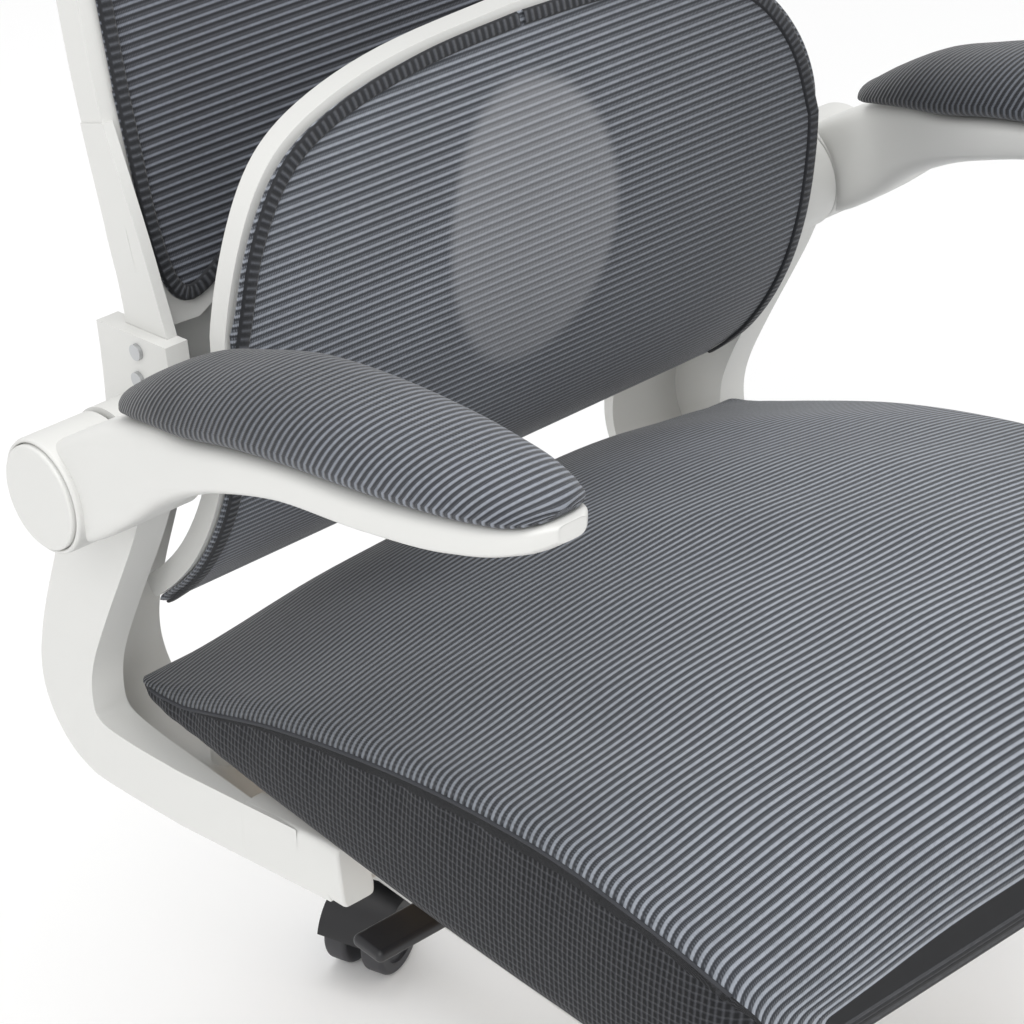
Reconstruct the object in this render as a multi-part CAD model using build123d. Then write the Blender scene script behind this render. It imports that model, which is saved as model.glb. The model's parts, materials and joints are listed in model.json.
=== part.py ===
from build123d import *
import math
import os

os.makedirs("parts", exist_ok=True)

# ---------------------------------------------------------------- dimensions
# Millimetres.  Z is up, the sitter faces -Y and the sitter's left is +X.
# The origin is on the floor, under the gas column.

# rolling base
LEG_COUNT = 5
STEM_CIRCLE_R = 300.0        # caster stems stand on this circle
HUB_R = 40.0
HUB_Z0, HUB_Z1 = 66.0, 128.0
LEG_W_ROOT, LEG_W_TIP = 52.0, 34.0
WHEEL_R = 27.5
WHEEL_W = 17.0
WHEEL_GAP = 11.0             # between the twin wheels
TRAIL = 21.0                 # wheel axle behind the stem axis
STEM_R = 5.5
AXLE_R = 4.0

# gas column
COLUMN_R, COLUMN_WALL = 25.0, 2.0
COLUMN_Z0, COLUMN_Z1 = 66.0, 284.0
CYL_R, CYL_WALL = 14.0, 2.0
CYL_Z0, CYL_Z1 = 88.0, 322.0
ROD_R = 5.0
RUN = 0.05                   # radial running clearance

# tilt mechanism
PIVOT_Y, PIVOT_Z = -30.0, 330.0
PIN_R = 6.0
HOUSE_HX = 60.0
PLATE_Z0, PLATE_T = 347.0, 3.0
LEVER_X, LEVER_Z = -45.0, 318.0
KNOB_Y = -74.0

# seat
BOARD_Z0, BOARD_T = 350.0, 10.0
SEAT_BOTTOM = 353.0

# side brackets (J shaped, one each side)
BR_IN, BR_OUT = 241.0, 263.0
BR_WEB_IN = 184.0
BR_WEB_T = 8.0
HUB_Y, HUB_Z = 202.0, 528.0  # arm pivot axis, along X
ARM_IN, ARM_OUT = 265.5, 309.0
ARM_MID = 275.0              # centre line of the arm pads

# back
LEAN = 16.4                  # degrees the back leans behind upright
BACK_Y, BACK_Z = 224.0, 591.0
RIM_D, RIM_W = 20.0, 20.0
LEG_OUT = 231.0
LUM_HW = 222.0


# ---------------------------------------------------------------- helpers
def save(name, *solids):
    flat = []
    for s in solids:
        flat += list(s.solids())
    shape = flat[0] if len(flat) == 1 else Compound(flat)
    export_step(shape, f"parts/{name}.step")


def poly_yz(pts, x0, x1):
    """Straight-sided outline in the Y-Z plane carried along X from x0 to x1."""
    w = Wire.make_polygon([Vector(x0, y, z) for y, z in pts], close=True)
    return Solid.extrude(Face(w), Vector(x1 - x0, 0, 0))


def curved_yz(a, b, x0, x1):
    """Outline made of two smooth curves a and b joined by straight ends."""
    pa = [Vector(x0, y, z) for y, z in a]
    pb = [Vector(x0, y, z) for y, z in b]
    e = [Edge.make_spline(pa), Edge.make_line(pa[-1], pb[0]),
         Edge.make_spline(pb), Edge.make_line(pb[-1], pa[0])]
    return Solid.extrude(Face(Wire(e)), Vector(x1 - x0, 0, 0))


def band(center, halves):
    """Two curves either side of a centre line, at the given half widths."""
    n = len(center)
    left, right = [], []
    for i in range(n):
        y0, z0 = center[max(i - 1, 0)]
        y1, z1 = center[min(i + 1, n - 1)]
        d = math.hypot(y1 - y0, z1 - z0)
        ny, nz = -(z1 - z0) / d, (y1 - y0) / d
        y, z = center[i]
        h = halves[i]
        left.append((y + ny * h, z + nz * h))
        right.append((y - ny * h, z - nz * h))
    return left, right


def tube(r1, r0, z0, z1, x=0, y=0):
    return (Pos(x, y, (z0 + z1) / 2) * Cylinder(r1, z1 - z0)
            - Pos(x, y, (z0 + z1) / 2) * Cylinder(r0, z1 - z0 + 2))


def rod_z(r, z0, z1, x=0, y=0):
    return Pos(x, y, (z0 + z1) / 2) * Cylinder(r, z1 - z0)


def rod_x(r, x0, x1, y, z):
    return Pos((x0 + x1) / 2, y, z) * Rot(0, 90, 0) * Cylinder(r, abs(x1 - x0))


def rod_y(r, y0, y1, x, z):
    return Pos(x, (y0 + y1) / 2, z) * Rot(90, 0, 0) * Cylinder(r, abs(y1 - y0))


def block(x0, x1, y0, y1, z0, z1):
    return Pos((x0 + x1) / 2, (y0 + y1) / 2, (z0 + z1) / 2) * Box(
        abs(x1 - x0), abs(y1 - y0), abs(z1 - z0))


def soften(shape, edges, r):
    """Round the edges, stepping the radius down until the shape accepts it."""
    for k in (1.0, 0.7, 0.45, 0.25):
        try:
            out = fillet(edges, r * k)
            if out.is_valid and len(out.solids()) == 1:
                return out
        except Exception:
            pass
    return shape


def mirror_x(s):
    return mirror(s, Plane.YZ)


# ---------------------------------------------------------------- star base
leg_sections = []
for r, w, z0, z1 in ((20, LEG_W_ROOT, 70, 124), (90, 46, 68, 112),
                     (180, 40, 66, 97), (260, 36, 65, 86), (300, LEG_W_TIP, 64.5, 82)):
    sk = Plane(origin=(r, 0, (z0 + z1) / 2), x_dir=(0, 1, 0), z_dir=(1, 0, 0)) * RectangleRounded(
        w, z1 - z0, min(w, z1 - z0) * 0.28)
    leg_sections.append(sk)
leg = loft(leg_sections)
leg += rod_z(LEG_W_TIP / 2, 64.5, 82, STEM_CIRCLE_R, 0)
star = rod_z(HUB_R, HUB_Z0, HUB_Z1)
angles = [90 + 360 / LEG_COUNT * k for k in range(LEG_COUNT)]
for a in angles:
    star += Rot(0, 0, a) * leg
star = star - rod_z(COLUMN_R, 60, 140)
for a in angles:
    star = star - Rot(0, 0, a) * rod_z(STEM_R, 60, 78, STEM_CIRCLE_R, 0)
save("star_base", star)

stems = []
for a in angles:
    s = rod_z(STEM_R, 44, 77.5, STEM_CIRCLE_R, 0) + rod_z(8.0, 62.0, 64.3, STEM_CIRCLE_R, 0)
    stems.append(Rot(0, 0, a) * s)
save("caster_stems", *stems)

# ---------------------------------------------------------------- casters
# Each caster trails behind its stem.  The hood covers the upper part of the
# twin wheels and holds the axle in a centre web.
turns = [20.0, -50.0, 75.0, 140.0, -110.0]     # resting swivel of each caster
wz = WHEEL_R
for k, a in enumerate(angles, start=1):
    web = rod_x(12.0, -WHEEL_GAP / 2 + 0.5, WHEEL_GAP / 2 - 0.5, TRAIL, wz)
    neck = rod_z(12.0, 40, 61.5)
    hood_r = WHEEL_R + 3.5
    half = WHEEL_GAP / 2 + WHEEL_W + 2.0
    shell = rod_x(hood_r, -half, half, TRAIL, wz)
    shell -= rod_x(WHEEL_R + 1.2, -half + 1.6, half - 1.6, TRAIL, wz)
    keep = block(-60, 60, -60, 60, wz + 6, 90)
    shell = shell & keep
    fin = block(-WHEEL_GAP / 2 + 0.5, WHEEL_GAP / 2 - 0.5, -6, TRAIL + 14, wz, 58) & rod_x(
        hood_r, -20, 20, TRAIL, wz)
    hood = neck + shell + web + fin
    hood = hood - rod_x(WHEEL_R + 1.2, WHEEL_GAP / 2 - 0.5, half - 1.6, TRAIL, wz)
    hood = hood - rod_x(WHEEL_R + 1.2, -half + 1.6, -WHEEL_GAP / 2 + 0.5, TRAIL, wz)
    hood = hood - rod_z(STEM_R + RUN, 43.9, 70)
    hood = hood - rod_x(AXLE_R, -30, 30, TRAIL, wz)
    axle = rod_x(AXLE_R, -WHEEL_GAP / 2 - WHEEL_W + 3, WHEEL_GAP / 2 + WHEEL_W - 3, TRAIL, wz)
    place = Rot(0, 0, a) * Pos(STEM_CIRCLE_R, 0, 0) * Rot(0, 0, turns[k - 1])
    save(f"caster_{k}_hood", place * hood)
    save(f"caster_{k}_axle", place * axle)
    for tag, sgn in (("a", 1), ("b", -1)):
        x0 = sgn * (WHEEL_GAP / 2)
        x1 = sgn * (WHEEL_GAP / 2 + WHEEL_W)
        w = rod_x(WHEEL_R, x0, x1, TRAIL, wz)
        w = soften(w, w.edges().filter_by(GeomType.CIRCLE), 3.5)
        face = rod_x(18.5, x1 - sgn * 2.0, x1 + sgn * 1.0, TRAIL, wz)
        w = w - face
        w = w - rod_x(AXLE_R + RUN, x0 - sgn * 1, x1 - sgn * 2.8, TRAIL, wz)
        save(f"caster_{k}_wheel_{tag}", place * w)

# ---------------------------------------------------------------- gas column
tube_body = tube(COLUMN_R, COLUMN_R - COLUMN_WALL, COLUMN_Z0, COLUMN_Z1)
tube_body += tube(COLUMN_R - COLUMN_WALL, ROD_R + RUN, COLUMN_Z0, COLUMN_Z0 + 3)
save("column_tube", tube_body)
bush = tube(COLUMN_R - COLUMN_WALL, CYL_R + RUN, 226, COLUMN_Z1) + tube(
    COLUMN_R, CYL_R + RUN, COLUMN_Z1, COLUMN_Z1 + 2)
save("column_bush", bush)
rod = rod_z(ROD_R, 60.5, 262) + rod_z(CYL_R - CYL_WALL - RUN, 256, 264)
save("piston_rod", rod)
save("thrust_bearing", tube(14.0, ROD_R, COLUMN_Z0 + 3.1, COLUMN_Z0 + 11))
save("retaining_clip", tube(9.0, ROD_R, 62.3, 64.3) - block(0, 20, -2.5, 2.5, 61, 66))

cyl = rod_z(CYL_R, CYL_Z0, CYL_Z1)
cyl -= rod_z(CYL_R - CYL_WALL, CYL_Z0 + 14, CYL_Z1 - 14)
cyl -= rod_z(ROD_R + RUN, CYL_Z0 - 1, CYL_Z0 + 20)
cyl -= rod_z(4.0 + RUN, CYL_Z1 - 9, CYL_Z1 + 1)
save("gas_cylinder", cyl)
save("valve_button", rod_z(4.0, CYL_Z1 - 4.5, CYL_Z1 + 5))

# ---------------------------------------------------------------- tilt housing
side = [(-96, 292), (62, 292), (66, 300), (66, 318), (8, 331), (-16, 338),
        (-44, 338), (-90, 326), (-98, 316)]
inner = [(-93, 295), (60, 295), (63, 301), (63, 340), (-95, 340), (-95, 316)]
house = poly_yz(side, -HOUSE_HX, HOUSE_HX) - poly_yz(inner, -HOUSE_HX + 3, HOUSE_HX - 3)
house += rod_z(20.0, 288.0, 316)                       # socket for the cylinder
house -= rod_z(CYL_R, 280, 330)
house -= rod_x(PIN_R + RUN, -80, 80, PIVOT_Y, PIVOT_Z)
for s in (1, -1):                                      # ears that hold the lever yoke
    ear = block(LEVER_X - 6, LEVER_X + 6, s * 11, s * 15, 294, LEVER_Z + 6)
    house += ear - rod_y(3.0 + RUN, -30, 30, LEVER_X, LEVER_Z)
house -= rod_x(9.0, -HOUSE_HX - 5, -HOUSE_HX + 8, 0, LEVER_Z)
house += rod_z(12.0, 288, 300, 0, KNOB_Y)
house -= rod_z(5.0 + RUN, 280, 340, 0, KNOB_Y)
save("tilt_housing", house)

knob = rod_z(21.0, 262, 287.5, 0, KNOB_Y)
knob = soften(knob, knob.edges().filter_by(GeomType.CIRCLE), 3)
for i in range(10):
    an = math.radians(36 * i)
    knob -= rod_z(3.2, 255, 295, 22.5 * math.cos(an), KNOB_Y + 22.5 * math.sin(an))
knob += rod_z(5.0, 287, 314, 0, KNOB_Y)
save("tension_knob", knob)

coil_path = Helix(pitch=6.2, height=74.4, radius=10.8)
coil = sweep(Plane(origin=coil_path @ 0, z_dir=coil_path % 0) * Circle(1.7), path=coil_path)
coil = Pos(-37.2, PIVOT_Y, PIVOT_Z) * Rot(0, 90, 0) * coil
save("tilt_spring", coil)

yoke = block(LEVER_X - 9, LEVER_X + 22, -9, 9, LEVER_Z - 10, LEVER_Z + 10)
yoke += block(LEVER_X + 6, LEVER_X + 22, -5, 5, LEVER_Z, CYL_Z1 + 10.5)
yoke += block(LEVER_X + 20, 5, -5, 5, CYL_Z1 + 5.4, CYL_Z1 + 10.5)
yoke += rod_y(3.0, -16, 16, LEVER_X, LEVER_Z)
yoke -= rod_x(5.0 + RUN, LEVER_X - 12, LEVER_X + 30, 0, LEVER_Z)
yoke += rod_y(3.0, 9, 16, LEVER_X, LEVER_Z) + rod_y(3.0, -16, -9, LEVER_X, LEVER_Z)
save("lever_yoke", yoke)

lever = rod_x(5.0, LEVER_X + 20, -200, 0, LEVER_Z)
paddle = block(-194, -262, -12, 12, LEVER_Z - 4, LEVER_Z + 4)
paddle = soften(paddle, paddle.edges(), 3.6)
save("height_lever", lever + paddle)

# ---------------------------------------------------------------- seat pan
plate = block(-95, 95, -105, 110, PLATE_Z0, PLATE_Z0 + PLATE_T)
plate = soften(plate, plate.edges().filter_by(Axis.Z), 14)
for s in (1, -1):
    tab = poly_yz([(-46, PLATE_Z0 + 1), (-14, PLATE_Z0 + 1), (-20, 321), (-40, 321)],
                  s * (HOUSE_HX + 1), s * (HOUSE_HX + 4))
    plate += tab
plate -= rod_x(PIN_R, -90, 90, PIVOT_Y, PIVOT_Z)
seat_bolt_xy = [(sx * 78, y) for sx in (1, -1) for y in (-86, 92)]
for x, y in seat_bolt_xy:
    plate -= rod_z(3.2, 340, 356, x, y)
save("seat_plate", plate)
save("tilt_pin", rod_x(PIN_R, -HOUSE_HX - 6, HOUSE_HX + 6, PIVOT_Y, PIVOT_Z))

board = block(-214, 214, -232, 204, BOARD_Z0, BOARD_Z0 + BOARD_T)
board = soften(board, board.edges().filter_by(Axis.Z), 42)
foot_bolt_y = (104.0, 196.0)
FOOT_BOLT_X = 203.0
for x, y in seat_bolt_xy:
    board -= rod_z(3.2, 340, 370, x, y)
for s in (1, -1):
    for y in foot_bolt_y:
        board -= rod_z(4.0, 340, 370, s * FOOT_BOLT_X, y)
save("seat_board", board)
bolts = []
for x, y in seat_bolt_xy:
    bolts.append(rod_z(3.2, 342, 358, x, y) + rod_z(6.0, 342.5, PLATE_Z0, x, y))
save("seat_bolts", *bolts)

# The cushion is lofted through sections across the seat.  Each has a flat
# bottom, upright boxing up to the side seam, and a crowned top.
cushion_rows = [  # y, half width, bottom, seam, crown
    (222, 238, 362, 368, 380), (205, 242, 358, 374, 402), (156, 246, 354, 392, 426),
    (93, 249, 353, 417, 447), (25, 251, 353, 437, 463), (-77, 253, 353, 458, 475),
    (-136, 253, 353, 462, 477), (-199, 250, 354, 457, 470), (-240, 240, 360, 440, 455),
    (-262, 222, 372, 412, 428)]
secs = []
for y, w, zb, zs, zc in cushion_rows:
    top = Edge.make_spline([Vector(-w, y, zs), Vector(-w * 0.62, y, zs + (zc - zs) * 0.80),
                            Vector(0, y, zc), Vector(w * 0.62, y, zs + (zc - zs) * 0.80),
                            Vector(w, y, zs)])
    e = [Edge.make_line((-w, y, zb), (-w, y, zs)), top, Edge.make_line((w, y, zs), (w, y, zb)),
         Edge.make_line((w, y, zb), (-w, y, zb))]
    secs.append(Face(Wire(e)))
cushion = Solid.make_loft([f.outer_wire() for f in secs])
pocket = block(-216, 216, -234, 206, 340, BOARD_Z0 + BOARD_T + 0.3)
cushion = cushion - pocket
save("seat_cushion", cushion)

# ---------------------------------------------------------------- side brackets
j_center = [(209, 520), (215, 500), (223, 480), (238, 442), (251, 410), (262, 375), (263, 348),
            (249, 328), (222, 321.5), (180, 321), (120, 321), (46, 321)]
j_half = [31, 30, 29, 26, 24.5, 24, 25, 22.5, 19.5, 19, 19, 19]
front_c, rear_c = band(j_center, j_half)
if sum(p[0] for p in front_c[:5]) > sum(p[0] for p in rear_c[:5]):
    front_c, rear_c = rear_c, front_c
web_in = []
n = len(rear_c)
for i in range(n):
    y0, z0 = front_c[i]
    y1, z1 = rear_c[i]
    d = math.hypot(y1 - y0, z1 - z0)
    web_in.append((y1 + (y0 - y1) / d * BR_WEB_T, z1 + (z0 - z1) / d * BR_WEB_T))


def bracket_right():
    """Bracket at -X: limb, foot, web, arm boss and the socket for the back leg."""
    limb = curved_yz(front_c, rear_c[::-1], -BR_OUT, -BR_IN)
    web = curved_yz(web_in, rear_c[::-1], -BR_OUT + 3, -BR_WEB_IN)
    body = limb + web
    # the foot's outer side draws in towards the front
    plan = Wire.make_polygon([Vector(-BR_OUT - 40, 240, 250), Vector(-BR_OUT - 0.01, 240, 250),
                              Vector(-BR_OUT + 7, 170, 250), Vector(-237, 60, 250),
                              Vector(-232, 0, 250), Vector(-BR_OUT - 40, 0, 250)], close=True)
    body -= Solid.extrude(Face(plan), Vector(0, 0, 120))
    # the front end of the foot is cut on a slant, its lower tip further forward
    body -= poly_yz([(86, 344), (58, 300), (58, 280), (0, 280), (0, 344)], -300, -150)
    # the front of the web runs out at a slant towards the seat
    body -= poly_yz([(0, 280), (0, 420), (60, 420), (60, 280)], -300, -150)
    # bosses that carry the seat board
    for y in foot_bolt_y:
        body += rod_z(9.0, 303, BOARD_Z0, -FOOT_BOLT_X, y)
    # arm boss
    body += rod_x(34.0, -BR_OUT, -228, HUB_Y, HUB_Z)
    # socket
    sock = curved_yz([(176, 520), (177, 560), (181, 600)], [(243, 592), (240, 560), (240, 520)],
                     -239.0, -224.5)
    body += sock
    return body


leg_front = [(186, 524), (186, 560), (187, 589), (195, 612), (205, 638), (217, 666), (236, 708)]
leg_rear = [(256.4, 701), (245, 662), (236, 632), (229, 606), (226, 585), (226, 560), (226, 524)]
leg_right = curved_yz(leg_front, leg_rear, -LEG_OUT, -224.5)
web_r = curved_yz([(219, 525), (219, 560), (219.2, 585), (222, 606), (229, 632), (236, 655)],
                  [(241.6, 653), (234.6, 632), (227.6, 606), (224.4, 585), (224.4, 560), (224.4, 525)],
                  -LEG_OUT + 1.5, -172.0)
leg_right = leg_right + web_r
pocket_r = curved_yz([(y - 0.25, z) for y, z in ([(186, 523)] + leg_front[1:])],
                     [(y + 0.25, z) for y, z in (leg_rear[:-1] + [(226, 523)])],
                     -LEG_OUT - 0.25, -150.0)
br = bracket_right() - pocket_r
br = br - rod_x(PIN_R, -300, -200, HUB_Y, HUB_Z)
for y in foot_bolt_y:
    br = br - rod_z(4.0, 290, 360, -FOOT_BOLT_X, y) - rod_z(7.5, 290, 302.2, -FOOT_BOLT_X, y)
# screws that hold the back leg in its socket
screw_pos = [(206, 571), (206, 588)]
for y, z in screw_pos:
    br = br - rod_x(2.6, -250, -205, y, z)
br = max(br.solids(), key=lambda s: s.volume)
try:
    outer_edges = [e for e in br.edges() if abs(e.center().X + BR_OUT) < 0.6 and e.length > 60]
    br = soften(br, outer_edges, 7.0)
except Exception:
    pass
save("bracket_right", br)
save("bracket_left", mirror_x(br))

fb = []
for s in (1, -1):
    for y in foot_bolt_y:
        fb.append(rod_z(4.0, 298, 359, s * FOOT_BOLT_X, y) + rod_z(7.5, 296.5, 302.2, s * FOOT_BOLT_X, y))
save("bracket_bolts", *fb)

pivots = [rod_x(PIN_R, -304, -234, HUB_Y, HUB_Z) + rod_x(13.0, -304, -299.6, HUB_Y, HUB_Z)]
pivots.append(mirror_x(pivots[0]))
save("arm_pivots", *pivots)

# ---------------------------------------------------------------- cross member
cross = poly_yz([(219, 519), (230.5, 481), (242.6, 481), (231.2, 519)], -226, 226)

# ---------------------------------------------------------------- back frame
lean = math.radians(LEAN)
UP = Vector(0, math.sin(lean), math.cos(lean))
FWD = Vector(0, -math.cos(lean), math.sin(lean))
back_plane = Plane(origin=(0, BACK_Y, BACK_Z), x_dir=(1, 0, 0), z_dir=FWD)


outer_half = [(0, 448), (90, 444), (158, 424), (198, 380), (216, 310), (225, 220), (230, 130),
              (231, 60), (228, 18), (214, -2), (190, 2), (150, 26), (80, 46), (0, 52)]
inner_half = [(0, 428), (86, 424), (146, 406), (180, 368), (197, 304), (205, 216), (210, 130),
              (211, 62), (207, 30), (198, 22), (184, 26), (144, 48), (78, 67), (0, 73)]


def half_line(half, side, n=44):
    """Points down one side of an outline, from the top centre to the bottom centre."""
    v = [Vector(side * x, s, 0) for x, s in half]
    e = Edge.make_spline(v, tangents=[Vector(side, 0, 0), Vector(-side, 0, 0)])
    return [back_plane.from_local_coords(e @ (i / n)) for i in range(n + 1)]


def half_ring(outer, inner, side):
    return Face(Wire.make_polygon(half_line(outer, side) + half_line(inner, side)[::-1], close=True))


def half_plate(outer, side):
    return Face(Wire.make_polygon(half_line(outer, side), close=True))


def solid_up(face, vec):
    out = Solid.extrude(face, vec)
    return out if out.volume > 0 else Solid.extrude(-face, vec)


half = solid_up(half_ring(outer_half, inner_half, -1), FWD * RIM_D)
long_edges = [e for e in half.edges() if e.length > 300]
half = soften(half, long_edges, 5.0)
half = half + leg_right
half = half.solids()[0]
frame = half + mirror_x(half)
# bracket for the head support at the top of the frame
hb = Plane(origin=(0, BACK_Y, BACK_Z), x_dir=(1, 0, 0), z_dir=UP)
head_block = Solid.extrude(
    Face(Wire.make_polygon([hb.from_local_coords(Vector(x, y, 372)) for x, y in
                            ((-34, 6), (34, 6), (34, 26), (-34, 26))], close=True)), UP * 76)
head_block2 = Solid.extrude(
    Face(Wire.make_polygon([hb.from_local_coords(Vector(x, y, 404)) for x, y in
                            ((-34, -12), (34, -12), (34, 8), (-34, 8))], close=True)), UP * 42)
frame = frame + head_block + head_block2
slot_cut = Solid.extrude(
    Face(Wire.make_polygon([hb.from_local_coords(Vector(x, y, 360)) for x, y in
                            ((-20.1, 9.9), (20.1, 9.9), (20.1, 22.1), (-20.1, 22.1))], close=True)), UP * 110)
frame = frame - slot_cut
for y, z in screw_pos:
    for s in (1, -1):
        frame = frame - rod_x(2.6, s * 208, s * 236, y, z)
frame = max(frame.solids(), key=lambda s: s.volume)
save("back_frame", frame)

screws = []
for s in (1, -1):
    for y, z in screw_pos:
        screws.append(rod_x(2.6, s * 224.6, s * 240.5, y, z) + rod_x(4.6, s * 239.1, s * 241.4, y, z))
save("back_screws", *screws)

# cloth of the back, stretched over the front of the rim
mesh_half = [(0, 438), (88, 434), (152, 415), (189, 374), (206, 307), (215, 218), (220, 130),
             (221, 60), (217, 24), (206, 10), (187, 14), (147, 37), (79, 56), (0, 62)]
cloth = solid_up(half_plate(mesh_half, -1).moved(Location(FWD * (RIM_D + 0.2))), FWD * 3.0)
cloth = cloth + mirror_x(cloth)
save("back_mesh", cloth)

# cross member between the bracket webs, and the lumbar guide on it
save("cross_member", cross)
guide = poly_yz([(195, 642), (203.3, 642), (203.3, 531), (218.8, 519), (230.3, 481), (222, 477),
                 (205, 512), (195, 524)], -16, 16)
save("lumbar_guide", guide)

# ---------------------------------------------------------------- lumbar support
lum_front = [(228, 411), (208, 430), (192, 449), (176, 475), (163, 505), (154, 540), (150, 575),
             (149.5, 605), (152, 640), (158, 675), (168, 712), (176, 738)]


def lum_band(d0, d1, x0, x1, pts=lum_front):
    a = band(pts, [abs(d0)] * len(pts))
    b = band(pts, [abs(d1)] * len(pts))
    pick = 0 if a[0][5][0] > a[1][5][0] else 1
    inner_c = a[pick] if d0 >= 0 else a[1 - pick]
    outer_c = b[pick] if d1 >= 0 else b[1 - pick]
    return curved_yz(inner_c, outer_c[::-1], x0, x1)


def lum_outline(inset):
    h = LUM_HW - inset
    top = 728 - inset
    half = [(0, top), (70, top - 3), (135, top - 14), (178, top - 34), (206 - inset * 0.3, top - 70),
            (h, top - 120)]
    pts = [Vector(x, 300, z) for x, z in half] + [Vector(h, 300, 410 + inset * 0.75)] \
        + [Vector(-h, 300, 410 + inset * 0.75)] + [Vector(-x, 300, z) for x, z in reversed(half)]
    e = [Edge.make_spline(pts[:6]), Edge.make_line(pts[5], pts[6]), Edge.make_line(pts[6], pts[7]),
         Edge.make_line(pts[7], pts[8]), Edge.make_spline(pts[8:])]
    return Solid.extrude(Face(Wire(e)), Vector(0, -250, 0))


lf = lum_band(2.2, 15.0, -LUM_HW, LUM_HW) & lum_outline(0)
lf = lf - (lum_band(-20, 30, -LUM_HW, LUM_HW) & lum_outline(15))
lf = max(lf.solids(), key=lambda s: s.volume)
# carrier arm behind the window, with the shoe that slides on the guide
shoe = block(-24, 24, 184, 212, 548, 600) - block(-16.1, 16.1, 194.9, 203.4, 540, 610)
shoe = shoe - block(-11, 11, 203, 215, 540, 610)
arm_l = block(-206, 206, 166, 176, 566, 584)
bar = block(-212, -204, 160, 176, 566, 584) + block(204, 212, 160, 176, 566, 584)
neck = block(-20, 20, 174, 186, 562, 590)
lf = lf + arm_l + bar + neck + shoe
save("lumbar_frame", lf)
lm = lum_band(-2.0, 2.0, -LUM_HW + 3, LUM_HW - 3) & lum_outline(3)
save("lumbar_mesh", lm)
ell = Plane(origin=(0, 300, 598), x_dir=(1, 0, 0), z_dir=(0, -1, 0)) * Ellipse(62, 84)
lp = lum_band(3.2, 9.0, -100, 100) & extrude(ell, 250)
lp = lp + (block(-30, 30, 154, 166, 566, 584) - lum_band(-20, 3.2, -100, 100))
save("lumbar_pad", lp)

# ---------------------------------------------------------------- arms
def arm_section(y, zb, zt, xm, hw, tilt=0.0, low=0.62):
    """Rounded section across the arm, narrower at the bottom."""
    b = hw * low
    pts = [(-b, zb + 2), (-b * 0.55, zb), (b * 0.55, zb), (b, zb + 2), (hw * 0.93, zt - 5),
           (hw, zt - 2), (hw * 0.9, zt), (-hw * 0.9, zt), (-hw, zt - 2), (-hw * 0.93, zt - 5)]
    return Wire.make_polygon([Vector(xm + x, y, z) for x, z in pts], close=True)


arm_rows = [  # y, bottom, top, centre |x|, half width
    (206, 497, 555, 287, 20), (174, 508, 577, 286, 20), (140, 533, 597, 284, 21),
    (109.3, 559.3, 609.3, 281, 25), (80.1, 578.6, 615.6, 278, 30), (41.5, 597.6, 627.6, 275.5, 34),
    (3.9, 612.4, 637.4, 275, 35), (-65.7, 626.6, 649.6, 275, 34), (-118.4, 638.7, 659.7, 275, 29),
    (-149.5, 649.9, 665.9, 275, 22), (-171.1, 662.6, 672.6, 275, 12)]
arm_rows_solid = Solid.make_loft(
    [arm_section(y, zb, zt, -xm, hw) for y, zb, zt, xm, hw in arm_rows])
arm = arm_rows_solid + rod_x(33.0, -ARM_OUT, -ARM_IN, HUB_Y, HUB_Z)
arm -= block(-ARM_IN, -200, 130, 260, 480, 640)
arm -= rod_x(30.0, -ARM_OUT - 5, -304.5, HUB_Y, HUB_Z)
arm -= rod_x(13.4, -306, -299.4, HUB_Y, HUB_Z)
arm -= rod_x(PIN_R + RUN, -310, -250, HUB_Y, HUB_Z)
arm = max(arm.solids(), key=lambda s: s.volume)


def pad_section(y, zb, zt, hw):
    pts = [(-hw * 0.86, zb), (hw * 0.86, zb), (hw, zb + (zt - zb) * 0.35),
           (hw * 0.8, zb + (zt - zb) * 0.78), (hw * 0.4, zt - 1), (0, zt), (-hw * 0.4, zt - 1),
           (-hw * 0.8, zb + (zt - zb) * 0.78), (-hw, zb + (zt - zb) * 0.35)]
    return Wire.make_polygon([Vector(-ARM_MID + x, y, z) for x, z in pts], close=True)


pad_rows = [  # y, bottom, top, half width
    (154, 595, 603, 14), (136, 600, 617, 25), (105.5, 610.4, 637.9, 33), (73.5, 617.5, 652, 37),
    (35.9, 629.1, 665.6, 38.5), (-11.1, 640.1, 674.6, 38.5), (-58.2, 648.9, 679.1, 37.5), (-100.5, 656.7, 680.7, 34),
    (-138.2, 664.1, 680.6, 27), (-161.7, 670.4, 678.2, 17)]
pad = Solid.make_loft([pad_section(*r) for r in pad_rows])
pad = pad - arm
pad = max(pad.solids(), key=lambda s: s.volume)
save("arm_right", arm)
save("arm_left", mirror_x(arm))
save("arm_pad_right", pad)
save("arm_pad_left", mirror_x(pad))
cap = rod_x(29.8, -312, -304.6, HUB_Y, HUB_Z)
cap = soften(cap, cap.edges().group_by(Axis.X)[0], 1.6)
cap = cap
save("hub_cap_right", cap)
save("hub_cap_left", mirror_x(cap))

# ---------------------------------------------------------------- head support
def on_back(x, y, s):
    return hb.from_local_coords(Vector(x, y, s))


def back_block(x0, x1, y0, y1, s0, s1):
    f = Face(Wire.make_polygon([on_back(x, y, s0) for x, y in
                                ((x0, y0), (x1, y0), (x1, y1), (x0, y1))], close=True))
    return Solid.extrude(f, UP * (s1 - s0))


stem = back_block(-20, 20, 10, 22, 376, 514)
HEAD_S, HEAD_Yb = 526.0, 4.0
head_c = on_back(0, HEAD_Yb, HEAD_S)
stem += back_block(-20, 20, 2, 22, 502, 518)
stem_ear = rod_x(9.0, -20, 20, head_c.Y, head_c.Z)
stem = stem + stem_ear + rod_x(4.0, -34, 34, head_c.Y, head_c.Z)
save("headrest_stem", stem)

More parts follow.
